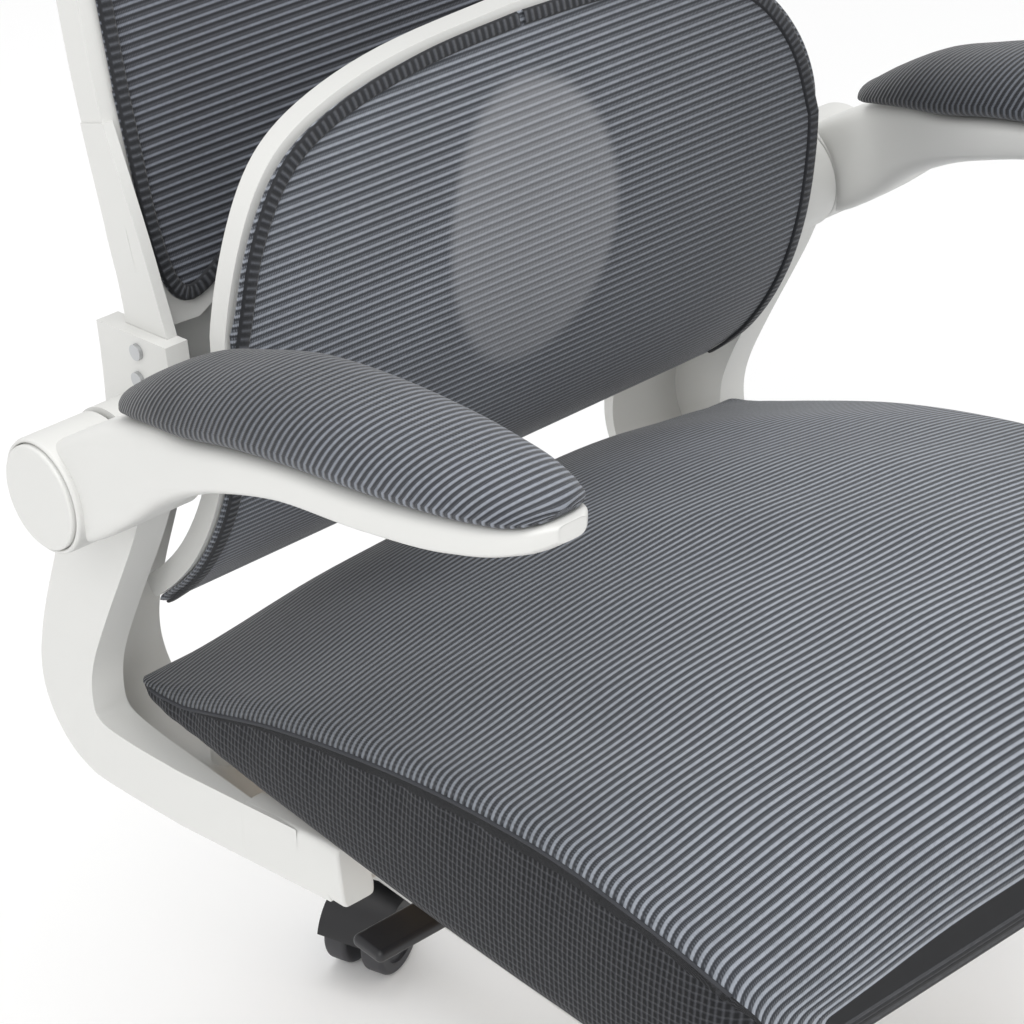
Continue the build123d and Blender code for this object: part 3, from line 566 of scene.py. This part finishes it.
M_seam = moulded("seam_thread", (0.035, 0.037, 0.043), rough=0.8, grain=0.0003, scale=1800.0)
for sgn, tag in ((1, "left"), (-1, "right")):
    line = []
    for y in np.linspace(-246, 214, 120):
        w, zb, zs, zc = seat_fn(y)
        ro = min(9.0, (zs - zb) * 0.3)
        line.append((sgn * (w + 0.1) / 1000, y / 1000, (zs - ro) / 1000))
    sm = tube_along("seat_seam_" + tag, line, 0.0011, M_seam, "seat")

# ------------------------------------------------------------------ arm pads
pad_rows = [  # y, bottom, top, half width (mm)
    (-165, 673.5, 676, 6), (-163.6, 672.1, 677.6, 11), (-159.8, 670.5, 678.9, 18), (-152.3, 667.3, 680.3, 23),
    (-138.2, 664.1, 681.9, 28), (-100.5, 656.7, 682.1, 34.5), (-58.2, 648.9, 680.1, 37.8), (-11.1, 640.1, 675.6, 38.8),
    (35.9, 629.1, 666.6, 38.8), (73.5, 617.5, 653, 37.3), (105.5, 610.4, 639.4, 33.8), (130, 603, 623.5, 27.5),
    (146, 597.5, 611, 20), (153, 595.6, 605.5, 13.5), (156, 596, 602, 7)]
pad_fn = table_fn(pad_rows)


def make_pad(side, tag):
    ys_ = np.r_[np.linspace(-165, -152, 9), np.linspace(-148, 126, 60), np.linspace(130, 156, 12)]
    K = 48
    rows = []
    for y in ys_:
        zb, zt, hw = pad_fn(y)
        loop = []
        for k in range(K):
            a = 2 * math.pi * k / K
            c, s = math.cos(a), math.sin(a)
            if s >= 0:
                x = hw * math.copysign(abs(c) ** 0.80, c)
                z = zb + (zt - zb) * (0.30 + 0.70 * s ** 0.92)
            else:
                x = hw * math.copysign(abs(c) ** 0.55, c)
                z = zb + (zt - zb) * (0.30 - 0.30 * abs(s) ** 0.7)
            loop.append(((side * ARM_MID * 1000 + x) / 1000, y / 1000, z / 1000))
        rows.append(loop)
    Pp = np.array(rows)
    ay = arc(Pp, 0)
    uv = np.zeros((len(ys_), K, 2))
    top_arc = ay[:, K // 4]
    # ribs curve over the crown: they lag towards the sides
    lag = np.array([0.010 * (1 - max(0.0, math.sin(2 * math.pi * k / K)) ** 0.8) for k in range(K)])
    uv[:, :, 1] = top_arc[:, None] - lag[None, :]
    uv[:, :, 0] = np.linspace(0, 0.2, K)[None, :]
    ob = grid("arm_pad_cover_" + tag, Pp, uv, closed=True, caps=True)
    ob.data.materials.append(M_pad)
    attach(ob, "arm_" + tag)
    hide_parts("arm_pad_" + tag)
    return ob


make_pad(-1, "right")
make_pad(1, "left")

# ------------------------------------------------------------------ arms
arm_rows = [  # y, bottom, top, centre |x|, half width (mm)
    (206, 497, 555, 287, 20), (174, 508, 577, 286, 20), (140, 533, 597, 284, 21),
    (109.3, 559.3, 609.3, 281, 25), (80.1, 578.6, 615.6, 278, 30), (41.5, 597.6, 627.6, 275.5, 34.5),
    (3.9, 612.4, 637.4, 275, 36), (-65.7, 626.6, 649.6, 275, 35), (-118.4, 638.7, 660.5, 275, 30.5),
    (-149.5, 649.9, 667.5, 275, 23.5), (-164, 657.5, 671.5, 275, 16), (-171.5, 663.5, 673, 275, 8)]
arm_fn = table_fn(arm_rows)


def make_arm(side, tag):
    ys_ = np.r_[np.linspace(206, -150, 90), np.linspace(-153, -171.5, 14)]
    K = 44
    rows = []
    for y in ys_:
        zb, zt, xm, hw = arm_fn(y)
        f = float(np.clip((150 - y) / 90.0, 0, 1))      # 0 at the hub, 1 under the pad
        loop = []
        for k in range(K):
            a = 2 * math.pi * k / K
            c_, s_ = math.cos(a), math.sin(a)
            p = 0.42
            if s_ >= 0:
                x = hw * math.copysign(abs(c_) ** p, c_)
            else:                                        # the underside draws in
                x = hw * (1 - 0.30 * f * abs(s_) ** 1.5) * math.copysign(abs(c_) ** p, c_)
            z = (zb + zt) / 2 + (zt - zb) / 2 * math.copysign(abs(s_) ** p, s_)
            loop.append(((side * xm + x) / 1000, y / 1000, z / 1000))
        rows.append(loop if side < 0 else loop[::-1])
    Pp = np.array(rows)
    ob = grid("arm_shell_" + tag, Pp, None, closed=True, caps=True)
    # the hub: a short drum with a rounded lip round a sunk face
    prof = [(-265.5, 6.5), (-265.5, 33.0 - 1.5), (-267.0, 33.0), (-307.2, 33.0), (-308.9, 32.4), (-309.6, 31.4),
            (-309.0, 30.4), (-306.0, 30.05), (-304.6, 30.0), (-304.6, 6.5)]
    M = 72
    hub = np.zeros((len(prof), M, 3))
    for i, (x, r) in enumerate(prof):
        for k in range(M):
            a = 2 * math.pi * k / M
            hub[i, k] = (side * -x / 1000, (202 + r * math.cos(a)) / 1000, (528 + r * math.sin(a)) / 1000)
    hb = grid("hub_" + tag, hub if side > 0 else hub[:, ::-1], None, closed=True)
    bm = bmesh.new()
    bm.from_mesh(ob.data)
    bm.from_mesh(hb.data)
    bmesh.ops.recalc_face_normals(bm, faces=bm.faces)
    bm.to_mesh(ob.data)
    bm.free()
    bpy.data.objects.remove(hb)
    for p in ob.data.polygons:
        p.use_smooth = True
    ob.data.materials.clear()
    ob.data.materials.append(M_white)
    wn = ob.modifiers.new("even_shading", "WEIGHTED_NORMAL")
    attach(ob, "arm_" + tag)
    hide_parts("arm_" + tag)
    return ob


make_arm(-1, "right")
make_arm(1, "left")

# ------------------------------------------------------------------ toes of the bracket feet
for sgn, tag in ((1, "left"), (-1, "right")):
    rows = []
    for t in np.linspace(0, 1, 16):
        y = 124.0 - 75.0 * t
        # the outer side draws in towards the front, flush with the limb
        x1 = float(np.interp(y, [0, 60, 170], [232.0, 237.0, 256.0])) + 0.25
        x0 = x1 - 17.0 - 6.0 * t
        zt, zb = 340.2, 301.9
        K = 40
        loop = []
        for k in range(K):
            a_ = 2 * math.pi * k / K
            c_, s_ = math.cos(a_), math.sin(a_)
            hx = (x1 - x0) / 2
            x = x0 + hx + hx * math.copysign(abs(c_) ** 0.26, c_)
            z = (zt + zb) / 2 + (zt - zb) / 2 * math.copysign(abs(s_) ** 0.26, s_)
            lean_y = 0.14 * (z - zb) * t
            loop.append((sgn * x / 1000, (y + lean_y) / 1000, z / 1000))
        rows.append(loop if sgn > 0 else loop[::-1])
    toe = grid("bracket_toe_" + tag, np.array(rows), None, closed=True, caps=True)
    toe.data.materials.append(M_white)
    bvt = toe.modifiers.new("toe_edges", "BEVEL")
    bvt.width = 0.002
    bvt.segments = 3
    bvt.angle_limit = math.radians(40)
    wn = toe.modifiers.new("even_shading", "WEIGHTED_NORMAL")
    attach(toe, "seat")

# ------------------------------------------------------------------ back mesh
outline_lo = smooth([(0, 62), (79, 56), (147, 37), (187, 14), (206, 10), (217, 24), (221, 60), (220, 130)], 120)
outline_hi = smooth([(0, 438), (88, 434), (152, 415), (189, 374), (206, 307), (215, 218), (220, 130)], 120)
full = np.vstack([outline_hi, outline_lo[::-1][1:]])           # from top centre to bottom centre


def back_pt(x, s, off):
    return BACK_O + np.array([1, 0, 0]) * x / 1000 + UP * s / 1000 + FWD * off / 1000


def back_panel():
    NX, NS = 97, 90
    xs = 220.5 * np.sin(np.linspace(-math.pi / 2, math.pi / 2, NX))
    lo_x = outline_lo[:, 0]
    hi_x = outline_hi[:, 0]
    Pp = np.zeros((NS, NX, 3))
    uv = np.zeros((NS, NX, 2))
    for j, x in enumerate(xs):
        a = abs(x)
        k = int(np.argmax(lo_x))
        lo = float(np.interp(a, lo_x[:k + 1], outline_lo[:k + 1, 1]))
        hi = float(np.interp(a, hi_x, outline_hi[:, 1]))
        hi = max(hi, lo + 0.5)
        for i, t in enumerate(np.linspace(0, 1, NS)):
            s = lo + (hi - lo) * t
            e = min(1.0, (1 - (a / 221.0) ** 2)) * min(1.0, 4 * t * (1 - t) * 1.3)
            off = 21.5 - 9.0 * max(0.0, e)
            Pp[i, j] = back_pt(x, s, off)
            uv[i, j] = (x / 1000, s / 1000)
    ob = grid("back_mesh_cloth", Pp, uv)
    ob.data.materials.append(M_back)
    sol = ob.modifiers.new("thickness", "SOLIDIFY")
    sol.thickness = 0.0012
    sol.offset = 0
    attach(ob, "seat")
    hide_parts("back_mesh")
    return ob


back_panel()


def tape(name, path, across, width, body, lift=0.0, thick=0.0016):
    """Flat edging tape along path, reaching to one side along across (unit vectors)."""
    path, across = np.array(path), np.array(across)
    n = len(path)
    T = np.gradient(path, axis=0)
    T /= np.linalg.norm(T, axis=1)[:, None]
    Nn = np.cross(T, across)
    Nn /= np.linalg.norm(Nn, axis=1)[:, None]
    Nn = np.where(Nn[:, 1:2] > 0, -Nn, Nn)        # always out towards the sitter
    prof = [(0.0, 0.0), (0.04, 0.7), (0.14, 1.0), (0.5, 1.12), (0.86, 1.0), (0.96, 0.7), (1.0, 0.0)]
    Pp = np.zeros((n, len(prof), 3))
    uv = np.zeros((n, len(prof), 2))
    s = np.r_[0, np.cumsum(np.linalg.norm(np.diff(path, axis=0), axis=1))]
    for j, (a, h) in enumerate(prof):
        Pp[:, j] = path + across * width * a + Nn * (lift + h * thick)
        uv[:, j, 0] = s
        uv[:, j, 1] = a
    ob = grid(name, Pp, uv)
    ob.data.materials.append(M_trim)
    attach(ob, body)
    return ob


# edging tape round the back mesh, both sides, meeting at top and bottom
for sgn, tag in ((1, "left"), (-1, "right")):
    pts, acr = [], []
    cen = np.array([0, 250.0])
    d = np.gradient(full, axis=0)
    for (x, s), (dx, ds) in zip(full[::2], d[::2]):
        L = math.hypot(dx, ds)
        nx, ns = ds / L, -dx / L                  # one side of the line
        if nx * (0 - x) + ns * (250 - s) < 0:
            nx, ns = -nx, -ns
        pts.append(back_pt(sgn * x, s, 22.6))
        acr.append(np.array([sgn * nx, 0, 0]) + UP * ns)
    if sgn < 0:
        pts, acr = pts[::-1], acr[::-1]
    t = tape("back_mesh_edging_" + tag, pts, acr, 0.0085, "seat")

# ------------------------------------------------------------------ lumbar panel
lum_line = smooth([(228, 411), (208, 430), (192, 449), (176, 475), (163, 505), (154, 540), (150, 575),
                   (149.5, 605), (152, 640), (158, 675), (168, 712), (176, 738)], 160)


def lum_y(z):
    return float(np.interp(z, lum_line[:, 1], lum_line[:, 0]))


def lum_normal(z):
    y0, y1 = lum_y(z - 3), lum_y(z + 3)
    t = np.array([0, y1 - y0, 6.0])
    t /= np.linalg.norm(t)
    return np.array([0, -t[2], t[1]])             # forward


lum_top = smooth([(0, 728), (70, 725), (135, 714), (178, 694), (206, 658), (222, 608)], 140)


def lum_panel():
    NX, NZ = 89, 110
    H = 219.5
    xs = H * np.sin(np.linspace(-math.pi / 2, math.pi / 2, NX))
    Pp = np.zeros((NZ, NX, 3))
    uv = np.zeros((NZ, NX, 2))
    arc_l = np.r_[0, np.cumsum(np.linalg.norm(np.diff(lum_line, axis=0), axis=1))]
    for j, x in enumerate(xs):
        zt = float(np.interp(abs(x), lum_top[:, 0], lum_top[:, 1])) - 3
        for i, t in enumerate(np.linspace(0, 1, NZ)):
            z = 410 + (zt - 410) * t
            ex = max(0.0, 1 - (abs(x) / H) ** 2)
            ez = max(0.0, min(1.0, 5 * t * (1 - t)))
            y = lum_y(z) - 2.2
            nrm = lum_normal(z)
            # rounded rim of the cloth where it turns over the frame
            edge = (H - abs(x))
            roll = 2.6 * max(0.0, 1 - edge / 6.0) ** 2
            q = np.array([x, y, z]) - nrm * roll + nrm * 1.5 * ex * ez
            Pp[i, j] = q / 1000
            s = float(np.interp(z, lum_line[:, 1], arc_l)) / 1000
            uv[i, j] = (x / 1000, s)
    ob = grid("lumbar_mesh_cloth", Pp, uv)
    ob.data.materials.append(M_lum)
    sol = ob.modifiers.new("thickness", "SOLIDIFY")
    sol.thickness = 0.0014
    sol.offset = 0
    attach(ob, "lumbar")
    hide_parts("lumbar_mesh")
    return ob


lum_panel()
for sgn, tag in ((1, "left"), (-1, "right")):
    path, acr = [], []
    # up the side, then round the top corner to the middle
    side_z = np.linspace(414, 606, 60)
    for z in side_z:
        nrm = lum_normal(z)
        path.append((np.array([sgn * 219.3, lum_y(z), z]) + nrm * 2.6) / 1000)
        acr.append(np.array([-sgn, 0, 0]))
    for k in range(len(lum_top) - 1, 0, -2):
        x, z = lum_top[k]
        x, z = x - 2.6 * (x / 222), z - 3.2
        nrm = lum_normal(z)
        path.append((np.array([sgn * x, lum_y(z), z]) + nrm * 2.6) / 1000)
        k0, k1 = max(0, k - 2), min(len(lum_top) - 1, k + 2)
        dx, dz = lum_top[k1] - lum_top[k0]
        L = math.hypot(dx, dz)
        nx, nz = -dz / L, dx / L
        if nx * (0 - x) + nz * (600 - z) < 0:
            nx, nz = -nx, -nz
        tz = np.array([0, lum_y(z + 3) - lum_y(z - 3), 6.0])
        tz /= np.linalg.norm(tz)
        acr.append(np.array([sgn * nx, 0, 0]) + tz * nz)
    path, acr = np.array(path), np.array(acr)
    # even the points out so the tape has no kink
    s = np.r_[0, np.cumsum(np.linalg.norm(np.diff(path, axis=0), axis=1))]
    uu = np.linspace(0, s[-1], 150)
    path = np.stack([np.interp(uu, s, path[:, k]) for k in range(3)], 1)
    acr = np.stack([np.interp(uu, s, acr[:, k]) for k in range(3)], 1)
    acr /= np.linalg.norm(acr, axis=1)[:, None]
    if sgn > 0:
        path, acr = path[::-1], acr[::-1]
    tape("lumbar_edging_" + tag, path, acr, 0.0085, "lumbar", lift=0.0002)

# ------------------------------------------------------------------ head support cloth
lo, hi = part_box("headrest_mesh")
HEAD_C = BACK_O + UP * 0.526 + np.array([0, math.cos(LEAN), -math.sin(LEAN)]) * 0.004
rows = []
uvr = []
NR, NT = 22, 96
for i, r in enumerate(np.linspace(0.0, 1.0, NR)):
    row, ur = [], []
    for k in range(NT):
        t = 2 * math.pi * k / NT
        c, s_ = math.cos(t), math.sin(t)
        q = 0.55
        x = 0.1345 * math.copysign(abs(c) ** q, c) * r
        z = 0.0592 * math.copysign(abs(s_) ** q, s_) * r
        off = 0.0402 - 0.0026 * max(0.0, (r - 0.88) / 0.12) ** 2 + 0.0012 * (1 - r * r)
        p = HEAD_C + np.array([x, 0, 0]) + UP * z + FWD * off
        row.append(p)
        ur.append((x, z))
    rows.append(row)
    uvr.append(ur)
hm = grid("headrest_mesh_cloth", np.array(rows), np.array(uvr), closed=True)
hm.data.materials.append(M_back)
sol = hm.modifiers.new("thickness", "SOLIDIFY")
sol.thickness = 0.0012
sol.offset = 0
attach(hm, "headrest")
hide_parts("headrest_mesh")

# ------------------------------------------------------------------ floor, light, camera
fl = bpy.data.meshes.new("studio_floor")
fl.from_pydata([(-6, -6, 0), (6, -6, 0), (6, 6, 0), (-6, 6, 0)], [], [(0, 1, 2, 3)])
floor = bpy.data.objects.new("studio_floor", fl)
bpy.context.scene.collection.objects.link(floor)
mf, ntf, bf = new_mat("pale_floor")
bf.inputs["Base Color"].default_value = (0.93, 0.93, 0.93, 1)
bf.inputs["Roughness"].default_value = 0.9
bf.inputs["Specular IOR Level"].default_value = 0.1
fl.materials.append(mf)

world = bpy.data.worlds.new("studio")
bpy.context.scene.world = world
world.use_nodes = True
bg = world.node_tree.nodes["Background"]
bg.inputs[0].default_value = (1.0, 1.0, 1.0, 1)
bg.inputs[1].default_value = 0.75


def area(name, loc, target, size, power, col=(1, 1, 1)):
    li = bpy.data.lights.new(name, "AREA")
    li.shape = "SQUARE"
    li.size = size
    li.energy = power
    li.color = col
    ob = bpy.data.objects.new(name, li)
    bpy.context.scene.collection.objects.link(ob)
    ob.location = loc
    ob.rotation_euler = (Vector(target) - Vector(loc)).to_track_quat("-Z", "Y").to_euler()
    return ob


area("key_light", (-2.4, -1.2, 2.6), (0, 0, 0.5), 1.8, 46)
area("top_light", (0.2, 0.2, 3.4), (0, 0, 0.5), 2.4, 40)
area("fill_light", (2.2, -2.6, 1.8), (0, 0, 0.5), 2.2, 16)

cam_d = bpy.data.cameras.new("camera")
cam = bpy.data.objects.new("camera", cam_d)
bpy.context.scene.collection.objects.link(cam)
cam_d.lens = 119.95
cam_d.sensor_width = 36.0
cam_d.clip_start = 0.05
cam_d.clip_end = 50
a, e = math.radians(-42), math.radians(32)
back = Vector((math.sin(a) * math.cos(e), -math.cos(a) * math.cos(e), math.sin(e)))
right = Vector((math.cos(a), math.sin(a), 0))
up = back.cross(right)
R = Matrix((right, up, back)).transposed()
cam.matrix_world = Matrix.Translation(Vector((-1.150, -1.1027, 1.476))) @ R.to_4x4()
bpy.context.scene.camera = cam
bpy.context.scene.view_settings.view_transform = "Standard"
bpy.context.scene.view_settings.look = "None"

bpy.context.view_layer.update()
